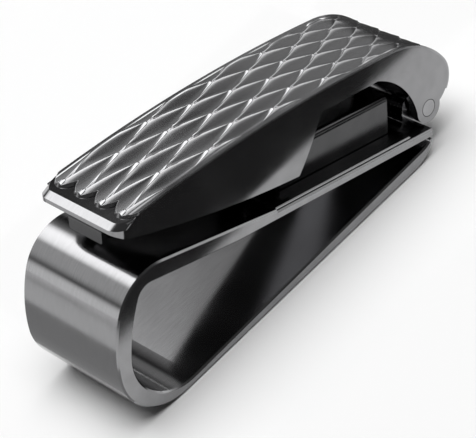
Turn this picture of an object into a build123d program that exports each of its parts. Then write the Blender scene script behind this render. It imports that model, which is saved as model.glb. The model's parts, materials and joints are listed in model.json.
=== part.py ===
from build123d import *
import math
import os

# Spring money clip with a hinged clamping lever. Millimetres, +Z up.
# The lower arm of the band lies flat on Z = 0. X runs from the front bend to the hinge,
# Y across the width. The upper arm slopes down to the hinge, so everything that belongs
# to it is drawn in an "arm frame": U along the arm, V square to it, turned by ARM_TILT.

# ---- band -------------------------------------------------------------------------------
BAND_WIDTH = 16.0
BAND_CHAMFER = 0.20
SHORTEST_CHAMFERED = 1.5
ARM_TILT = 17.4                     # slope of the upper arm, degrees
LOWER_ARM_START_X = 7.14            # where the flat lower arm runs into the bend
OUTER_BEND = [(7.19, 99.8), (18.26, 23.9), (6.36, 78.4)]    # radius, turn of the outside
INNER_START = (8.77, 0.92)
INNER_BEND = [(6.53, 112.4), (20.69, 19.4), (1.96, 69.9)]   # radius, turn of the inside
LIP_START_X = 47.0                  # the lower arm curls up to its lip from here
LIP_RADIUS = 4.4
LIP_TURN = 58
LIP_NOSE = (50.50, 2.28)
LIP_INSIDE = [(48.60, 1.78), (49.45, 1.88), (50.15, 2.10)]
ARM_UNDERSIDE_V = 17.4
ARM_TOP_V = 18.50
STEP_U = 21.9                       # the thick front of the arm ends in a small step
SHOULDER_U = 47.8                   # the full width ends here, the knuckle goes on

# ---- hinge ------------------------------------------------------------------------------
PIN_U = 48.5
PIN_V = 20.55
PIN_RADIUS = 0.90
PIN_HEAD_RADIUS = 1.03
PIN_HEAD_DEPTH = 0.45
PIN_HEAD_GAP = 0.08                 # the head sits loosely in its recess
PIN_RUNNING_FIT = 0.05
KNUCKLE_RADIUS = PIN_V - ARM_UNDERSIDE_V
KNUCKLE_WIDTH = 10.6
KNUCKLE_FILLET = 1.2
WASHER_RADIUS = 1.75
WASHER_THICKNESS = 0.32

# ---- plate on the upper arm -------------------------------------------------------------
PLATE_THICKNESS = 0.32
PLATE_INSET = 0.32
PLATE_REAR_U = 44.15
PLATE_CHAMFER = 0.10
RIVET_RADIUS = 0.7
RIVET_PLACES = [(26.5, 5.6), (26.5, -5.6), (40.5, 5.6), (40.5, -5.6)]   # U, Y

# ---- lever cover ------------------------------------------------------------------------
LEVER_WIDTH = 13.4
CHEEK = 1.0
WALL = 1.0
COVER_FRONT_U = -0.1
COVER_FRONT_WALL = 0.9
COVER_TOP_START = (0.77, 25.40)
COVER_TOP_HEADING = 12.35
COVER_TOP = [(195.7, 12.33), (11.12, 50.26), (3.48, 101.0)]   # radius, turn of the top
BEVEL_FOOT_V = 24.85
FRONT_FOOT_V = 24.35
CHEEK_FOOT = [(1.2, 23.75), (11.6, 21.85), (26.78, 20.50)]    # lower edge of the cheek
LOBE_RADIUS = 1.95
CORNER_RADIUS = 1.6
COVER_OVERHANG = 0.5                # the outline starts this far ahead and is trimmed
KNUCKLE_CLEARANCE = 0.32
WINDOW_FRONT = [(26.78, 20.50), (29.05, 24.0), (30.55, 27.1)]
WINDOW_TOP = [(30.55, 27.1), (39.9, 27.4)]
WINDOW_ARCH = [(39.9, 27.4), (44.4, 24.5), (46.75, 19.6)]

# ---- clamp foot, spring and guide studs -------------------------------------------------
FOOT_FRONT_U = 25.0
FOOT_REAR_U = 43.2
FOOT_WIDTH = 10.4
FOOT_WALL = 0.8
FOOT_TOP_V = 23.8
FOOT_GAP = 0.12                     # air under the foot when nothing is clamped
FOOT_SHOULDER = 0.75
TAB_WIDTH = 5.5
TAB_THICKNESS = 0.75
TAB_FRONT_U = COVER_FRONT_U + COVER_FRONT_WALL + 0.15
TAB_FOOT_V = 21.6
TAB_SHOULDER_V = 23.4
TAB_CORNER = 0.2
TONGUE_THICKNESS = 0.8
SPRING_WIDTH = 4.6
SPRING_THICKNESS = 0.35
SPRING_U = 34.1                     # middle of the arched leaf
SPRING_HALF_LENGTH = 6.0
STUD_RADIUS = 0.9
STUD_HEAD_RADIUS = 1.5
STUD_HEAD = 0.5
STUD_SEAT = 0.55                    # the studs are pressed this far into the cover
STUD_U = [26.6, 41.4]

arm_frame = Location((0, 0, 0), (0, ARM_TILT, 0))
side = Plane.XZ


def arm_to_world(u, v):
    """Place a point of the arm frame in the X-Z plane of the part."""
    tilt = math.radians(ARM_TILT)
    return (u * math.cos(tilt) + v * math.sin(tilt), v * math.cos(tilt) - u * math.sin(tilt))


def tangent_arcs(start, heading, arcs):
    """Arcs that follow one another smoothly, each turning clockwise."""
    direction = Vector(math.cos(math.radians(heading)), math.sin(math.radians(heading)))
    pieces = []
    for radius, turn in arcs:
        piece = JernArc(start, direction, radius, -turn)
        start = piece @ 1
        direction = piece % 1
        pieces.append(piece)
    return pieces


def run_to(arc, u=None, v=None):
    """Where a straight run off the end of an arc reaches a line of the arm frame."""
    tilt = math.radians(ARM_TILT)
    start, direction = arc @ 1, arc % 1
    if v is None:
        normal, level = Vector(math.cos(tilt), -math.sin(tilt)), u
    else:
        normal, level = Vector(math.sin(tilt), math.cos(tilt)), v
    return start + direction * ((level - start.dot(normal)) / direction.dot(normal))


def slab(edges, width, y=0.0):
    """Closed outline in the side view, given a width across Y."""
    face = side * make_face(Wire(edges))
    return Pos(0, y, 0) * extrude(face, amount=width / 2, both=True)


def across(u, v, radius, length, y=0.0):
    """Round bar along Y through a point of the side view."""
    return Pos(u, y, v) * Rot(90, 0, 0) * Cylinder(radius, length)


def upright(u, y, v_low, v_high, radius):
    """Round bar along V."""
    return Pos(u, y, (v_low + v_high) / 2) * Cylinder(radius, v_high - v_low)


def side_edges(body, half_width):
    """The long edges of the two flat sides of a strip."""
    return [e for e in body.edges() if abs(abs(e.center().Y) - half_width) < 1e-3
            and e.bounding_box().size.Y < 1e-3 and e.length > SHORTEST_CHAMFERED]


def make_band():
    """The bent strip: lower arm, front bend, upper arm and hinge knuckle."""
    outer = tangent_arcs((LOWER_ARM_START_X, 0), 180, OUTER_BEND)
    inner_end = LIP_INSIDE[0]
    slope = math.degrees(math.atan2(inner_end[1] - INNER_START[1], inner_end[0] - INNER_START[0]))
    inner = tangent_arcs(INNER_START, 180 + slope, INNER_BEND)
    top_step = run_to(outer[-1], u=STEP_U)
    low_step = arm_to_world(STEP_U, ARM_TOP_V)
    end_top = arm_to_world(SHOULDER_U, ARM_TOP_V)
    end_low = arm_to_world(SHOULDER_U, ARM_UNDERSIDE_V)
    thin = run_to(inner[-1], v=ARM_UNDERSIDE_V)
    lip = JernArc((LIP_START_X, 0), (1, 0), LIP_RADIUS, LIP_TURN)
    edges = [Line((LIP_START_X, 0), (LOWER_ARM_START_X, 0)), *outer,
             Line(outer[-1] @ 1, top_step), Line(top_step, low_step), Line(low_step, end_top),
             Line(end_top, end_low), Line(end_low, thin), Line(thin, inner[-1] @ 1),
             *inner[::-1], Line(INNER_START, inner_end), ThreePointArc(*LIP_INSIDE),
             ThreePointArc(LIP_INSIDE[-1], LIP_NOSE, lip @ 1), lip]
    strip = slab(edges, BAND_WIDTH)
    strip = chamfer(side_edges(strip, BAND_WIDTH / 2), BAND_CHAMFER)

    rise = KNUCKLE_RADIUS + KNUCKLE_FILLET
    level = ARM_TOP_V + KNUCKLE_FILLET
    fillet_u = PIN_U - math.sqrt(rise ** 2 - (PIN_V - level) ** 2)
    share = KNUCKLE_RADIUS / rise
    touch = (PIN_U + (fillet_u - PIN_U) * share, PIN_V + (level - PIN_V) * share)
    middle = math.radians(-90 + math.degrees(math.atan2(touch[1] - level, touch[0] - fillet_u))) / 2
    hollow = (fillet_u + KNUCKLE_FILLET * math.cos(middle), level + KNUCKLE_FILLET * math.sin(middle))
    web = [ThreePointArc((fillet_u, ARM_TOP_V), hollow, touch), Line(touch, (PIN_U, PIN_V)),
           Line((PIN_U, PIN_V), (PIN_U, ARM_UNDERSIDE_V)),
           Line((PIN_U, ARM_UNDERSIDE_V), (fillet_u, ARM_UNDERSIDE_V + 0.1)),
           Line((fillet_u, ARM_UNDERSIDE_V + 0.1), (fillet_u, ARM_TOP_V))]
    knuckle = slab(web, KNUCKLE_WIDTH) + across(PIN_U, PIN_V, KNUCKLE_RADIUS, KNUCKLE_WIDTH)
    bore = across(PIN_U, PIN_V, PIN_RADIUS + PIN_RUNNING_FIT, BAND_WIDTH)
    band = strip + arm_frame * knuckle - arm_frame * bore
    for u, y in RIVET_PLACES:
        band -= arm_frame * upright(u, y, ARM_UNDERSIDE_V - 1, ARM_TOP_V + 1, RIVET_RADIUS)
    return band


def make_plate():
    """Flat hardened plate that the notes are clamped against."""
    width = BAND_WIDTH - 2 * PLATE_INSET
    length = PLATE_REAR_U - STEP_U
    top_v = ARM_TOP_V + PLATE_THICKNESS
    middle = Pos((PLATE_REAR_U + STEP_U) / 2, 0, (ARM_TOP_V + top_v) / 2)
    plate = middle * Box(length, width, PLATE_THICKNESS)
    plate = chamfer(plate.faces().sort_by(Axis.Z)[-1].edges(), PLATE_CHAMFER)
    for u, y in RIVET_PLACES:
        plate -= upright(u, y, ARM_TOP_V - 1, top_v + 1, RIVET_RADIUS)
    return arm_frame * plate


def make_plate_rivets():
    """Four flush rivets through the plate and the arm."""
    top_v = ARM_TOP_V + PLATE_THICKNESS
    rivets = [upright(u, y, ARM_UNDERSIDE_V, top_v, RIVET_RADIUS) for u, y in RIVET_PLACES]
    return Compound(children=[arm_frame * rivet for rivet in rivets])


def cover_outline(inset):
    """Side view of the cover, or of its hollow when inset is the wall thickness."""
    heading = math.radians(COVER_TOP_HEADING)
    start = (COVER_TOP_START[0] + inset * math.sin(heading),
             COVER_TOP_START[1] - inset * math.cos(heading))
    arcs = tangent_arcs(start, COVER_TOP_HEADING, [(r - inset, turn) for r, turn in COVER_TOP])
    return start, arcs


def make_cover():
    """Curved top shell with two cheeks, a big side window and the hinge lobes."""
    start, arcs = cover_outline(0)
    end = arcs[-1] @ 1
    foot_a, foot_b, foot_c = CHEEK_FOOT
    ahead = COVER_FRONT_U - COVER_OVERHANG
    front_slope = (FRONT_FOOT_V - foot_a[1]) / (COVER_FRONT_U - foot_a[0])
    front_low = (ahead, FRONT_FOOT_V - COVER_OVERHANG * front_slope)
    top_slope = math.tan(math.radians(COVER_TOP_HEADING))
    front_high = (ahead, start[1] + (ahead - start[0]) * top_slope)
    outline = [Line(front_low, front_high), Line(front_high, start), *arcs,
               Line(end, (PIN_U, PIN_V)), Line((PIN_U, PIN_V), (WINDOW_ARCH[2][0], PIN_V)),
               Line((WINDOW_ARCH[2][0], PIN_V), foot_c), ThreePointArc(foot_c, foot_b, foot_a),
               Line(foot_a, front_low)]
    body = slab(outline, LEVER_WIDTH) + across(PIN_U, PIN_V, LOBE_RADIUS, LEVER_WIDTH)

    # rounded front corners in plan, upright below the bevel and leaning back with it above
    rear_u = PIN_U + 8
    plan = Pos((COVER_FRONT_U + rear_u) / 2, 0) * Rectangle(rear_u - COVER_FRONT_U, LEVER_WIDTH)
    plan = fillet(plan.vertices().group_by(Axis.X)[0], CORNER_RADIUS)
    column = Pos(0, 0, ARM_UNDERSIDE_V) * extrude(plan, amount=BEVEL_FOOT_V - ARM_UNDERSIDE_V)
    lean = Vector(start[0] - COVER_FRONT_U, 0, start[1] - BEVEL_FOOT_V)
    column += Pos(0, 0, BEVEL_FOOT_V) * extrude(plan, amount=PIN_V, dir=lean.normalized())
    body = body & column

    start, arcs = cover_outline(WALL)
    end = arcs[1] @ 1
    front = COVER_FRONT_U + COVER_FRONT_WALL
    low = ARM_UNDERSIDE_V - 2
    hollow = [Line((front, low), (front, start[1])), Line((front, start[1]), start), *arcs[:2],
              Line(end, (end.X, low)), Line((end.X, low), (front, low))]
    body -= slab(hollow, LEVER_WIDTH - 2 * CHEEK)
    body -= across(PIN_U, PIN_V, KNUCKLE_RADIUS + KNUCKLE_CLEARANCE, LEVER_WIDTH - 2 * CHEEK)

    window = [ThreePointArc(*WINDOW_FRONT), Line(*WINDOW_TOP), ThreePointArc(*WINDOW_ARCH),
              Line(WINDOW_ARCH[2], (WINDOW_ARCH[2][0], low)),
              Line((WINDOW_ARCH[2][0], low), (WINDOW_FRONT[0][0], low)),
              Line((WINDOW_FRONT[0][0], low), WINDOW_FRONT[0])]
    lobes = across(PIN_U, PIN_V, LOBE_RADIUS, LEVER_WIDTH)
    lobes -= across(PIN_U, PIN_V, LOBE_RADIUS + 1, LEVER_WIDTH - 2 * CHEEK)
    body = body - slab(window, LEVER_WIDTH + 2) + lobes
    body -= across(PIN_U, PIN_V, PIN_RADIUS, LEVER_WIDTH + 2)
    for y in (-1, 1):
        head_y = y * (LEVER_WIDTH - PIN_HEAD_DEPTH) / 2
        body -= across(PIN_U, PIN_V, PIN_HEAD_RADIUS + PIN_HEAD_GAP, PIN_HEAD_DEPTH, head_y)
    for u in STUD_U:
        body -= upright(u, 0, FOOT_TOP_V, cover_ceiling(u) + STUD_SEAT, STUD_RADIUS)
    return arm_frame * body


def cover_ceiling(u):
    """Height of the underside of the cover's top over a place on the arm."""
    radius = COVER_TOP[0][0]
    heading = math.radians(COVER_TOP_HEADING)
    centre_u = COVER_TOP_START[0] + radius * math.sin(heading)
    centre_v = COVER_TOP_START[1] - radius * math.cos(heading)
    return centre_v + math.sqrt((radius - WALL) ** 2 - (u - centre_u) ** 2)


def make_foot():
    """Channel that bears on the notes, with a tongue forward to the finger tab."""
    low_v = ARM_TOP_V + PLATE_THICKNESS + FOOT_GAP
    height = FOOT_TOP_V - low_v
    length = FOOT_REAR_U - FOOT_FRONT_U
    place = Pos((FOOT_FRONT_U + FOOT_REAR_U) / 2, 0, low_v + height / 2)
    channel = Box(length, FOOT_WIDTH, height)
    channel = fillet(channel.edges().filter_by(Axis.X).group_by(Axis.Z)[-1], FOOT_SHOULDER)
    channel = fillet(channel.edges().filter_by(Axis.Y).group_by(Axis.X)[-1], FOOT_SHOULDER / 2)
    channel = place * channel
    hollow_top = FOOT_TOP_V - FOOT_WALL
    hollow = Box(length + 2, FOOT_WIDTH - 2 * FOOT_WALL, hollow_top - low_v + 1)
    channel -= Pos((FOOT_FRONT_U + FOOT_REAR_U) / 2, 0, (hollow_top + low_v - 1) / 2) * hollow

    tongue = [Line((TAB_FRONT_U, TAB_FOOT_V), (TAB_FRONT_U, TAB_SHOULDER_V - 0.5)),
              ThreePointArc((TAB_FRONT_U, TAB_SHOULDER_V - 0.5),
                            (TAB_FRONT_U + 0.15, TAB_SHOULDER_V - 0.15),
                            (TAB_FRONT_U + 0.5, TAB_SHOULDER_V)),
              Line((TAB_FRONT_U + 0.5, TAB_SHOULDER_V), (FOOT_FRONT_U + 1, FOOT_TOP_V)),
              Line((FOOT_FRONT_U + 1, FOOT_TOP_V), (FOOT_FRONT_U + 1, FOOT_TOP_V - TONGUE_THICKNESS)),
              Line((FOOT_FRONT_U + 1, FOOT_TOP_V - TONGUE_THICKNESS),
                   (TAB_FRONT_U + TAB_THICKNESS, TAB_SHOULDER_V - TONGUE_THICKNESS)),
              Line((TAB_FRONT_U + TAB_THICKNESS, TAB_SHOULDER_V - TONGUE_THICKNESS),
                   (TAB_FRONT_U + TAB_THICKNESS, TAB_FOOT_V)),
              Line((TAB_FRONT_U + TAB_THICKNESS, TAB_FOOT_V), (TAB_FRONT_U, TAB_FOOT_V))]
    tongue = slab(tongue, TAB_WIDTH)
    tab_edges = tongue.edges().filter_by(Axis.X).group_by(Axis.Z)[0]
    tongue = chamfer(tab_edges, TAB_CORNER)
    foot = channel + tongue
    for u in STUD_U:
        foot -= upright(u, 0, hollow_top - 1, FOOT_TOP_V + 1, STUD_RADIUS + PIN_RUNNING_FIT)
    return arm_frame * foot


def make_spring():
    """Arched leaf between the foot and the underside of the cover."""
    floor = FOOT_TOP_V + 0.03
    rise = cover_ceiling(SPRING_U) - 0.03 - SPRING_THICKNESS - floor
    radius = (SPRING_HALF_LENGTH ** 2 + rise ** 2) / (2 * rise)
    centre_v = floor + rise - radius
    ring = across(SPRING_U, centre_v, radius + SPRING_THICKNESS, SPRING_WIDTH)
    ring -= across(SPRING_U, centre_v, radius, SPRING_WIDTH + 1)
    above = Pos(SPRING_U, 0, floor + radius) * Box(4 * radius, 2 * SPRING_WIDTH, 2 * radius)
    return arm_frame * (ring & above)


def make_studs():
    """Two headed studs that hang from the cover and guide the foot."""
    studs = []
    head_top = FOOT_TOP_V - FOOT_WALL - 0.05
    for u in STUD_U:
        stud = upright(u, 0, head_top, cover_ceiling(u) + STUD_SEAT, STUD_RADIUS)
        stud += upright(u, 0, head_top - STUD_HEAD, head_top, STUD_HEAD_RADIUS)
        studs.append(arm_frame * stud)
    return Compound(children=studs)


def make_pin():
    """Hinge pin with a flush head in each cheek."""
    pin = across(PIN_U, PIN_V, PIN_RADIUS, LEVER_WIDTH)
    for y in (-1, 1):
        head_y = y * (LEVER_WIDTH - PIN_HEAD_DEPTH) / 2
        pin += across(PIN_U, PIN_V, PIN_HEAD_RADIUS, PIN_HEAD_DEPTH, head_y)
    return arm_frame * pin


def make_washer(y_sign):
    """Thin washer between the knuckle and a cheek."""
    middle = (KNUCKLE_WIDTH / 2 + LEVER_WIDTH / 2 - CHEEK) / 2
    washer = across(PIN_U, PIN_V, WASHER_RADIUS, WASHER_THICKNESS, y_sign * middle)
    washer -= across(PIN_U, PIN_V, PIN_RADIUS + PIN_RUNNING_FIT, 2, y_sign * middle)
    return arm_frame * washer


nodes = {
    "clip_band": make_band(),
    "top_plate": make_plate(),
    "plate_rivets": make_plate_rivets(),
    "lever_cover": make_cover(),
    "clamp_foot": make_foot(),
    "foot_spring": make_spring(),
    "guide_studs": make_studs(),
    "hinge_pin": make_pin(),
    "hinge_washer_left": make_washer(-1),
    "hinge_washer_right": make_washer(1),
}

# the origin is under the middle of the part
middle_x = (min(shape.bounding_box().min.X for shape in nodes.values())
            + max(shape.bounding_box().max.X for shape in nodes.values())) / 2
os.makedirs("parts", exist_ok=True)
for name, shape in nodes.items():
    export_step(Pos(-middle_x, 0, 0) * shape, f"parts/{name}.step")

pin_x, pin_z = arm_to_world(PIN_U, PIN_V)
print("origin moved by", round(-middle_x, 4), "hinge axis at", round(pin_x - middle_x, 4), round(pin_z, 4))
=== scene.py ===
import json
import math

import bpy
import numpy as np
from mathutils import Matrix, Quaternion, Vector


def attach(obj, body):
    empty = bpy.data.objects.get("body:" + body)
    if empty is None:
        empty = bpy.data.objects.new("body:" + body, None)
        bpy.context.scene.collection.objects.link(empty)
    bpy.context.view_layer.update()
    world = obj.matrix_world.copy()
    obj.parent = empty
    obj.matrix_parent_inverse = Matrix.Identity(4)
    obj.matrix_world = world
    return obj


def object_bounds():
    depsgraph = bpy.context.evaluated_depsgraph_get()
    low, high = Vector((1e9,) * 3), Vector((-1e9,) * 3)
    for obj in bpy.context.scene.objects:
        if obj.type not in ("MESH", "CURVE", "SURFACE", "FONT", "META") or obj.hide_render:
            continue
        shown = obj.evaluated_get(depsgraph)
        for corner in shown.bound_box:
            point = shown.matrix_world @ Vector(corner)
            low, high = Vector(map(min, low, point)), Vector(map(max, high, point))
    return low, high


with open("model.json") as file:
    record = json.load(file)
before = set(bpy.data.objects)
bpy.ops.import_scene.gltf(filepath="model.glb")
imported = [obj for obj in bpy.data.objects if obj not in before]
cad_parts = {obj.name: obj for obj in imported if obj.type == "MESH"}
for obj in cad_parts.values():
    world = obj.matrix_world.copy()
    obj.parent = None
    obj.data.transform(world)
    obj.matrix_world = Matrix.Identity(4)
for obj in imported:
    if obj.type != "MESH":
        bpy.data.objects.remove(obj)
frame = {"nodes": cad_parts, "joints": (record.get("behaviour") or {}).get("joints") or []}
cad_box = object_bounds()
MM = 0.001

# ---- the lever's own frame: U along the sloping arm, V square to it -----------------------
slide = next(j for j in frame["joints"] if j["name"] == "foot_travel")
V_AXIS = np.array(slide["axis"])
U_AXIS = np.array((V_AXIS[2], 0.0, -V_AXIS[0]))
HINGE = np.array(next(j for j in frame["joints"] if j["name"] == "lever_hinge")["pos_m"])
PIN_U, PIN_V = 48.5, 20.55          # the hinge in that frame, mm
ARM_ORIGIN = HINGE - (PIN_U * U_AXIS + PIN_V * V_AXIS) * MM

# ---- top of the cover: start, heading and (radius, turn) of its arcs ----------------------
TOP_START = (0.77, 25.40)
TOP_HEADING = 12.35                 # degrees
TOP_ARCS = [(195.7, 12.33), (11.12, 50.26), (3.48, 101.0)]
HALF_WIDTH = 6.7                    # of the engraved part of the top

# ---- engraved scales, in mm unless said otherwise -----------------------------------------------
# Scales lie like shingles. Each is a lens between a front and a rear crossing: it starts low at
# its front tip, rises to a nearly flat back, and its tail stands over the next scales as a step.
CELL = 1.675                        # half the width of a scale across the lever
FIRST_ROW = 9.13                    # run along the top to the first row of crossings
FIRST_STEP = 5.83                   # length from there to the next row
STEP_RATIO = 0.902                  # each step is shorter than the one before
LEAST_SHRINK = 0.02                 # keeps the row count finite where the steps run out
SIDE_CURVE = 1.30                   # 1 gives straight sides, 2 gives full arcs
WIDEST = 0.96                       # half the width of a scale, in half cells
FRONT_RIM = 0.19                    # height of the rim along the front half of a scale
TAIL_RIM = 0.36                     # height of the rim at the tail
TAIL_SWELL = 0.7                    # below 1, the rim gains most of that height early
BACK_HEIGHT, TAIL_HEIGHT = 0.26, 0.42
BACK_POWER = 2.6                    # 2 gives a round back, more a flatter one
RISE_FIRST = 0.62                   # rows from a front tip to its level back, in the first row
RISE_RATIO = 0.62                   # each row rises over a shorter share than the one before
RISE_LEAST = 0.12
HUMP, HUMP_WIDTH = 0.16, 0.35       # swelling at the end of that rise, as shares of it
FLANK = 1.4                         # slope of the steps down from a rim
RIM_ROUND = 0.10                    # rounding of the rims
BAND_START, BAND_BLEND = 5.85, 0.45  # the plain band along each edge begins here
BAND_HEIGHT = 0.26
REAR_DROP = 0.16                    # the relief sinks by this towards the rear
DROP_ROWS = (5.0, 10.0)
SOFTEN = 0.025                      # rounding of the bottom of the steps
PIT = -0.10                         # least height that the scales start from
LOWEST = -0.12                      # least height of the whole relief
TONGUE_TIP = 1.55                   # run to the tips of the front edge
TONGUE_CUSP = 1.5                   # how far the cuts between the tips reach back
TONGUE_POWER = 2.2                  # 2 gives round tips, more a blunter one
TONGUE_SLOPE = 1.3                  # slope of the front edge
TONGUE_DEPTH = 0.05                 # how deep that edge starts under the plain top
SLAB_START, SLAB_END = 1.50, 56.8   # run over which the slab lies
SLAB_SINK = 0.30                    # the slab's underside lies this deep in the cover
SLAB_INSET = 0.02                   # gap to the cover's side faces
GRID_LENGTH, GRID_WIDTH = 1200, 340  # points of the relief, along and across
SHARP_ANGLE = 75                    # edges past this stay sharp, degrees

# ---- camera, floor and studio, in metres ---------------------------------------------------------
CAMERA_PLACE = (-0.10022, -0.15829, 0.16758)
CAMERA_AIM = (0.39806, 0.64279, -0.65450)
CAMERA_ROLL = -20.72                # degrees
CAMERA_LENS, CAMERA_SENSOR = 161.3, 36.0  # mm
FLOOR_HALF = 1.6
FLOOR_TONE = 0.90
FLOOR_GAP, FLAG_LIFT = 0.00002, 0.0001  # floor under the clip, and flags over its lowest point
FLAGS = [                           # name, corners and tone of the flags that reflections show
    ("near_flag", [(-0.030, -0.100), (0.060, -0.100), (0.060, -0.021), (-0.030, -0.021)], 0.03),
    ("far_flag", [(0.031, 0.004), (1.400, 0.004), (1.400, 1.100), (0.036, 0.025)], 0.06),
    ("behind_flag", [(-0.024, 0.0085), (0.034, 0.0085), (0.034, 0.032), (-0.024, 0.032)], 0.03),
    ("front_flag", [(-0.060, -0.020), (-0.0292, -0.020), (-0.0292, 0.060), (-0.060, 0.060)], 0.40),
]
SKY_BASE = 0.08
SKY_LAMPS = [                       # direction, full and outer angle in degrees, strength
    ((0.03, 0.64, 0.76), 4, 18, 2.8),
    ((-0.42, 0.64, 0.64), 6, 22, 0.7),
    ((-0.70, 0.64, 0.12), 4, 16, 1.2),
    ((0.35, 0.45, 0.82), 8, 30, 0.45),
    ((0.70, 0.62, 0.35), 6, 18, 0.10),
    ((0.80, 0.50, 0.35), 4, 18, 0.16),
    ((0.31, 0.93, 0.20), 8, 22, 1.6),
    ((0.62, -0.12, 0.78), 8, 28, 2.0),
    ((0.86, -0.12, 0.50), 8, 28, 2.0),
    ((0.96, -0.10, 0.20), 8, 22, 2.0),
    ((0.55, 0.83, 0.04), 5, 15, 1.8),
    ((0.505, 0.643, 0.575), 5, 14, -0.22),
]


def arm_point(u, v, y):
    """A point of the lever's frame, in mm, as row-frame metres."""
    u, v, y = np.broadcast_arrays(u, v, y)
    place = ARM_ORIGIN + (u[..., None] * U_AXIS + v[..., None] * V_AXIS) * MM
    place[..., 1] = y * MM
    return place


def top_profile(run, lift):
    """U and V of the cover's top after a run along it, lifted square to the surface."""
    u0, v0 = TOP_START
    heading = math.radians(TOP_HEADING)
    before = TOP_START[0]
    u_out = np.full(np.shape(run), np.nan)
    v_out = np.full(np.shape(run), np.nan)
    for radius, turn in TOP_ARCS:
        length = radius * math.radians(turn)
        inside = (run >= before) & (run <= before + length)
        angle = heading - (run - before) / radius
        centre = (u0 + radius * math.sin(heading), v0 - radius * math.cos(heading))
        u_out = np.where(inside, centre[0] - (radius + lift) * np.sin(angle), u_out)
        v_out = np.where(inside, centre[1] + (radius + lift) * np.cos(angle), v_out)
        heading -= math.radians(turn)
        u0 = centre[0] - radius * math.sin(heading)
        v0 = centre[1] + radius * math.cos(heading)
        before += length
    return u_out, v_out


def smooth(t):
    """Ease from 0 to 1 as t goes from 0 to 1."""
    t = np.clip(t, 0, 1)
    return t * t * (3 - 2 * t)


def one_scale(t, q, row_length, rise):
    """Height of a scale at t rows from its front tip and q half cells from its middle line."""
    along = np.clip(t, 0, 2)
    from_middle = np.abs(along - 1)
    half = WIDEST * (1 - from_middle ** SIDE_CURVE)
    side_slope = WIDEST * SIDE_CURVE * from_middle ** (SIDE_CURVE - 1)
    beside = np.clip(q - half, 0, None) / np.hypot(1 / CELL, side_slope / row_length)
    outside = np.hypot(beside, (t - along) * row_length)
    front, rear = np.clip(along, 0, 1), np.clip(along - 1, 0, 1)
    rim = FRONT_RIM * np.sin(np.pi * front / 2) + (TAIL_RIM - FRONT_RIM) * rear ** TAIL_SWELL
    hump = 1 + HUMP * np.exp(-((along / rise - 1) / HUMP_WIDTH) ** 2)
    back = BACK_HEIGHT * smooth(along / rise) * hump + (TAIL_HEIGHT - BACK_HEIGHT) * along / 2
    inner = np.clip(q / np.maximum(half, 1e-4), 0, 1)
    top = rim + (back - rim) * (1 - inner ** BACK_POWER)
    return top - FLANK * (np.hypot(outside, RIM_ROUND) - RIM_ROUND)


def scale_relief(run, y):
    """Height of the engraved scales over the plain top, in mm."""
    shrink = 1 - (run - FIRST_ROW) * (1 - STEP_RATIO) / FIRST_STEP
    shrink = np.maximum(shrink, LEAST_SHRINK)
    row = 1 + np.log(shrink) / math.log(STEP_RATIO)
    row_length = FIRST_STEP * shrink * -math.log(STEP_RATIO) / (1 - STEP_RATIO)
    across = y / CELL
    height = np.full_like(across, PIT)
    for offset in (-1, 0, 1, 2):
        centre = np.floor(row) + offset
        parity = centre % 2
        column = np.round((across - parity) / 2) * 2 + parity
        rise = np.maximum(RISE_FIRST * RISE_RATIO ** (centre - 1), RISE_LEAST)
        scale = one_scale(row - centre + 1, np.abs(across - column), row_length, rise)
        height = SOFTEN * np.logaddexp(height / SOFTEN, scale / SOFTEN)
    height -= REAR_DROP * smooth((row - DROP_ROWS[0]) / (DROP_ROWS[1] - DROP_ROWS[0]))
    plain = smooth((np.abs(y) - BAND_START) / BAND_BLEND)
    height += (BAND_HEIGHT - height) * plain
    lobe = np.abs(across % 2 - 1)
    ahead = run - TONGUE_TIP - TONGUE_CUSP * lobe ** TONGUE_POWER
    front_edge = ahead * TONGUE_SLOPE - TONGUE_DEPTH
    return np.maximum(np.minimum(height, front_edge), LOWEST)


def make_scales():
    """Closed slab with the engraved scales, set into the top of the lever cover."""
    half = HALF_WIDTH - SLAB_INSET
    run, y = np.meshgrid(np.linspace(SLAB_START, SLAB_END, GRID_LENGTH),
                         np.linspace(-half, half, GRID_WIDTH), indexing="ij")
    top_u, top_v = top_profile(run, scale_relief(run, y))
    top = arm_point(top_u, top_v, y).reshape(-1, 3)
    ends = [0, GRID_WIDTH - 1]
    low_u, low_v = top_profile(run[:, ends], np.full((GRID_LENGTH, 2), -SLAB_SINK))
    low = arm_point(low_u, low_v, y[:, ends]).reshape(-1, 3)

    index = np.arange(top.shape[0]).reshape(run.shape)
    under = top.shape[0] + np.arange(low.shape[0]).reshape(-1, 2)
    quads = [(index[:-1, :-1], index[1:, :-1], index[1:, 1:], index[:-1, 1:]),
             (under[:-1, 0], under[:-1, 1], under[1:, 1], under[1:, 0]),
             (index[:-1, 0], under[:-1, 0], under[1:, 0], index[1:, 0]),
             (index[:-1, -1], index[1:, -1], under[1:, 1], under[:-1, 1])]
    faces = []
    for corners in quads:
        faces += np.stack([corner.ravel() for corner in corners], 1).tolist()
    faces.append([*index[0].tolist(), int(under[0, 1]), int(under[0, 0])])
    faces.append([*index[-1, ::-1].tolist(), int(under[-1, 0]), int(under[-1, 1])])

    mesh = bpy.data.meshes.new("lever_scales")
    mesh.from_pydata(np.concatenate((top, low)).tolist(), [], faces)
    mesh.polygons.foreach_set("use_smooth", np.ones(len(mesh.polygons), bool))
    piece = bpy.data.objects.new("lever_scales", mesh)
    bpy.context.scene.collection.objects.link(piece)
    mesh.set_sharp_from_angle(angle=math.radians(SHARP_ANGLE))
    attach(piece, "lever")
    return piece


# ---- materials ---------------------------------------------------------------------------------
COOL = 1.02                         # how much bluer than neutral the metals are
LINE_DEPTH = 0.00005                # depth of the polishing lines, metres


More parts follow.
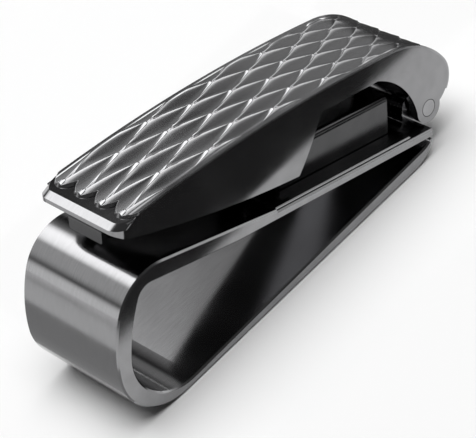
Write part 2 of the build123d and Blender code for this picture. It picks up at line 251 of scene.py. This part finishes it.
def metal(name, tone, rough, rough_spread=0.05, line_scale=(60, 900, 60), line_bump=0.02,
          cloud_scale=90.0, tone_spread=0.06):
    """Polished metal: faint polishing lines, cloudy roughness and a slight drift of tone."""
    material = bpy.data.materials.new(name)
    material.use_nodes = True
    nodes, links = material.node_tree.nodes, material.node_tree.links
    shader = nodes["Principled BSDF"]
    shader.inputs["Metallic"].default_value = 1.0
    place = nodes.new("ShaderNodeTexCoord")
    cloud = nodes.new("ShaderNodeTexNoise")
    cloud.inputs["Scale"].default_value = cloud_scale
    cloud.inputs["Detail"].default_value = 6.0
    links.new(place.outputs["Object"], cloud.inputs["Vector"])
    stretch = nodes.new("ShaderNodeMapping")
    stretch.inputs["Scale"].default_value = line_scale
    links.new(place.outputs["Object"], stretch.inputs["Vector"])
    lines = nodes.new("ShaderNodeTexNoise")
    lines.inputs["Scale"].default_value = 10.0
    lines.inputs["Detail"].default_value = 3.0
    links.new(stretch.outputs["Vector"], lines.inputs["Vector"])
    rough_range = nodes.new("ShaderNodeMapRange")
    rough_range.inputs["From Min"].default_value = 0.3
    rough_range.inputs["From Max"].default_value = 0.7
    rough_range.inputs["To Min"].default_value = rough - rough_spread
    rough_range.inputs["To Max"].default_value = rough + rough_spread
    links.new(cloud.outputs["Fac"], rough_range.inputs["Value"])
    links.new(rough_range.outputs["Result"], shader.inputs["Roughness"])
    ramp = nodes.new("ShaderNodeValToRGB")
    low, high = tone * (1 - tone_spread), tone * (1 + tone_spread)
    ramp.color_ramp.elements[0].position = 0.3
    ramp.color_ramp.elements[0].color = (low, low, low * COOL, 1)
    ramp.color_ramp.elements[1].position = 0.7
    ramp.color_ramp.elements[1].color = (high, high, high * COOL, 1)
    links.new(lines.outputs["Fac"], ramp.inputs["Fac"])
    links.new(ramp.outputs["Color"], shader.inputs["Base Color"])
    bump = nodes.new("ShaderNodeBump")
    bump.inputs["Strength"].default_value = line_bump
    bump.inputs["Distance"].default_value = LINE_DEPTH
    links.new(lines.outputs["Fac"], bump.inputs["Height"])
    links.new(bump.outputs["Normal"], shader.inputs["Normal"])
    return material


def dress(node, material):
    """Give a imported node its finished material."""
    thing = frame["nodes"][node]
    thing.data.materials.clear()
    thing.data.materials.append(material)


# ---- studio --------------------------------------------------------------------------------------
def make_floor():
    """Plain pale floor just under the clip."""
    mesh = bpy.data.meshes.new("floor")
    half = FLOOR_HALF
    mesh.from_pydata([(-half, -half, 0), (half, -half, 0), (half, half, 0), (-half, half, 0)],
                     [], [(0, 1, 2, 3)])
    floor = bpy.data.objects.new("floor", mesh)
    bpy.context.scene.collection.objects.link(floor)
    floor.location.z = cad_box[0][2] - FLOOR_GAP
    material = bpy.data.materials.new("pale_floor")
    material.use_nodes = True
    shader = material.node_tree.nodes["Principled BSDF"]
    shader.inputs["Base Color"].default_value = (FLOOR_TONE, FLOOR_TONE, FLOOR_TONE, 1)
    shader.inputs["Roughness"].default_value = 0.7
    mesh.materials.append(material)


def hidden_card(name, corners, tone):
    """Flat flag just over the floor that only shows in reflections."""
    mesh = bpy.data.meshes.new(name)
    mesh.from_pydata([(x, y, 0) for x, y in corners], [], [(0, 1, 2, 3)])
    card = bpy.data.objects.new(name, mesh)
    bpy.context.scene.collection.objects.link(card)
    card.location.z = cad_box[0][2] + FLAG_LIFT
    material = bpy.data.materials.new(name)
    material.use_nodes = True
    nodes, links = material.node_tree.nodes, material.node_tree.links
    nodes.clear()
    glow = nodes.new("ShaderNodeEmission")
    glow.inputs["Color"].default_value = (tone, tone, tone, 1)
    out = nodes.new("ShaderNodeOutputMaterial")
    links.new(glow.outputs["Emission"], out.inputs["Surface"])
    mesh.materials.append(material)
    card.visible_camera = False
    card.visible_diffuse = False
    card.visible_shadow = False


def soft_light(name, place, target, size, power, glossy):
    """Large area light, seen in reflections only where asked."""
    light = bpy.data.lights.new(name, "AREA")
    light.shape = "RECTANGLE"
    light.size, light.size_y = size
    light.energy = power
    lamp = bpy.data.objects.new(name, light)
    bpy.context.scene.collection.objects.link(lamp)
    lamp.location = place
    lamp.rotation_euler = (Vector(target) - Vector(place)).to_track_quat("-Z", "Y").to_euler()
    lamp.visible_camera = False
    lamp.visible_glossy = glossy


def make_sky(base, lobes):
    """Studio surroundings: a dim room with soft round lamps in the given directions."""
    world = bpy.data.worlds.new("studio")
    world.use_nodes = True
    nodes, links = world.node_tree.nodes, world.node_tree.links
    where = nodes.new("ShaderNodeTexCoord")
    total = None
    for direction, inner, outer, level in lobes:
        dot = nodes.new("ShaderNodeVectorMath")
        dot.operation = "DOT_PRODUCT"
        dot.inputs[1].default_value = Vector(direction).normalized()
        links.new(where.outputs["Generated"], dot.inputs[0])
        spot = nodes.new("ShaderNodeMapRange")
        spot.interpolation_type = "SMOOTHSTEP"
        spot.inputs["From Min"].default_value = math.cos(math.radians(outer))
        spot.inputs["From Max"].default_value = math.cos(math.radians(inner))
        spot.inputs["To Max"].default_value = level
        links.new(dot.outputs["Value"], spot.inputs["Value"])
        summed = nodes.new("ShaderNodeMath")
        summed.operation = "ADD"
        summed.inputs[0].default_value = base
        if total is not None:
            links.new(total, summed.inputs[0])
        links.new(spot.outputs["Result"], summed.inputs[1])
        total = summed.outputs["Value"]
    bright = nodes.new("ShaderNodeMath")
    bright.operation = "MAXIMUM"
    bright.inputs[1].default_value = 0.0
    links.new(total, bright.inputs[0])
    links.new(bright.outputs["Value"], nodes["Background"].inputs["Strength"])
    nodes["Background"].inputs["Color"].default_value = (1, 1, 1, 1)
    world.cycles_visibility.diffuse = False
    bpy.context.scene.world = world


def make_camera():
    """Camera with its position, aim, roll and lens."""
    camera = bpy.data.cameras.new("camera")
    camera.lens = CAMERA_LENS
    camera.sensor_width = CAMERA_SENSOR
    camera.clip_start = 0.01
    item = bpy.data.objects.new("camera", camera)
    bpy.context.scene.collection.objects.link(item)
    item.location = CAMERA_PLACE
    item.rotation_mode = "QUATERNION"
    item.rotation_quaternion = (Vector(CAMERA_AIM).to_track_quat("-Z", "Y")
                                @ Quaternion((0, 0, 1), math.radians(CAMERA_ROLL)))
    bpy.context.scene.camera = item


# ---- the scene -----------------------------------------------------------------------------------
band = metal("band_metal", 0.30, 0.13)
cover = metal("cover_metal", 0.28, 0.12)
engraved = metal("engraved_metal", 0.34, 0.22, line_bump=0.005)
inner = metal("inner_metal", 0.09, 0.22)
spring = metal("spring_metal", 0.30, 0.30)
pin = metal("pin_metal", 0.34, 0.16)
for node in ("clip_band", "top_plate"):
    dress(node, band)
dress("lever_cover", cover)
for node in ("clamp_foot", "guide_studs", "hinge_washer_left", "hinge_washer_right"):
    dress(node, inner)
dress("foot_spring", spring)
for node in ("hinge_pin", "plate_rivets"):
    dress(node, pin)

scales = make_scales()
scales.data.materials.append(engraved)

make_floor()
for flag in FLAGS:
    hidden_card(*flag)
soft_light("ceiling", place=(0.03, 0.05, 0.9), target=(0, 0, 0), size=(0.9, 0.9), power=11.5, glossy=False)
make_sky(SKY_BASE, SKY_LAMPS)
make_camera()
scene = bpy.context.scene
scene.view_settings.view_transform = "Standard"
